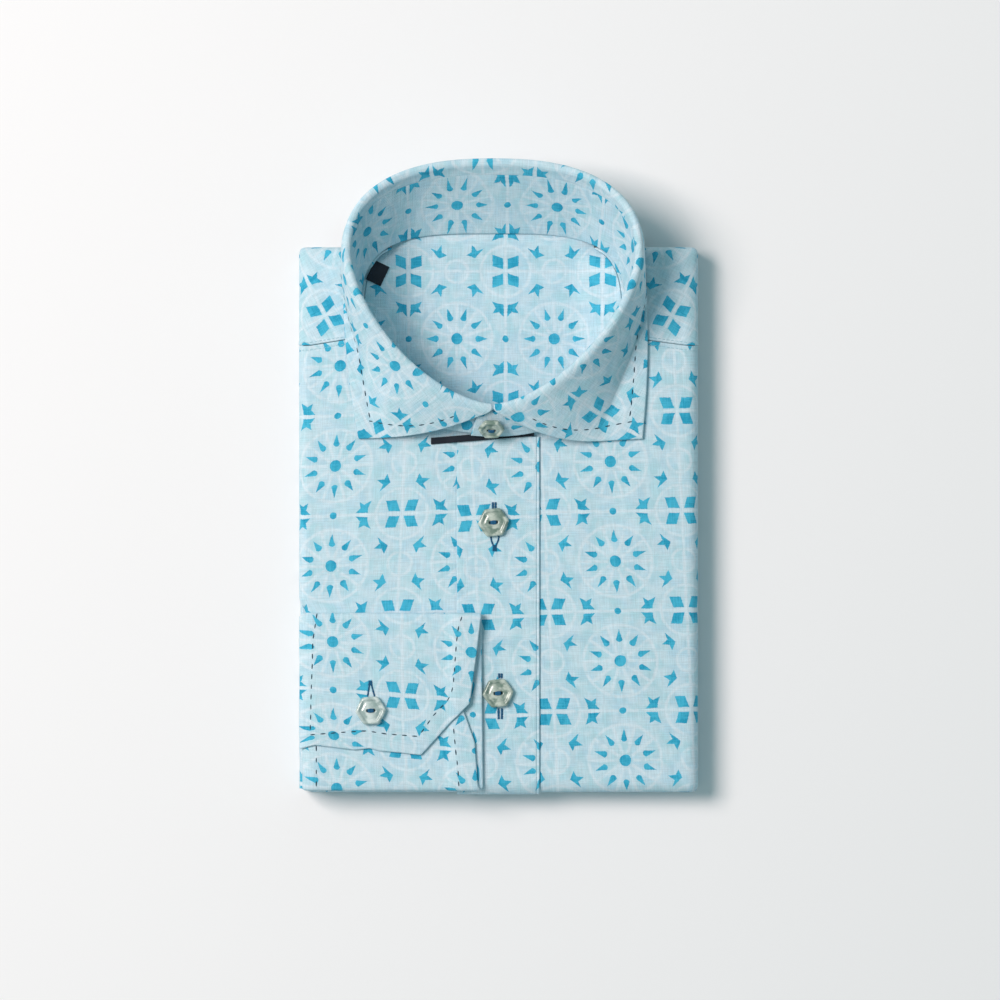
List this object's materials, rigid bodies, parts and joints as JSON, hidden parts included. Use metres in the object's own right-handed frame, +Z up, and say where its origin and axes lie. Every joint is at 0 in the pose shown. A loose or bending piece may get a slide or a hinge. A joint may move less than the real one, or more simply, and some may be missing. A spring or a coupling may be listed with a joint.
{
  "type": "folded dress shirt",
  "caption": "Long-sleeved button-front linen shirt folded flat, its spread collar standing and one mitred cuff laid on the front.",
  "frame": {"origin": "centre of the footprint, on the surface that the shirt lies on", "axes": "+Y from hem to collar along the folded packet, +X to the wearer's left, +Z up out of the shirt's front"},
  "size_m": [0.1916, 0.3052, 0.0507],
  "materials": {
    "printed_linen": "matt woven linen, pale aqua with a turquoise star and rosette repeat",
    "navy_tape": "matt woven tape",
    "shell": "polished grey-green shell"
  },
  "bodies": {
    "root": {"folded_layers": "printed_linen", "front_right": "printed_linen", "front_left": "printed_linen", "yoke_shoulder_right": "printed_linen", "yoke_shoulder_left": "printed_linen", "inner_yoke": "printed_linen", "placket": "printed_linen", "collar_band": "printed_linen", "collar_fall": "printed_linen", "cuff": "printed_linen", "sleeve": "printed_linen", "neck_tape": "navy_tape", "size_label": "navy_tape", "button_collar": "shell", "button_front_upper": "shell", "button_front_lower": "shell", "button_cuff": "shell"}
  },
  "joints": []
}
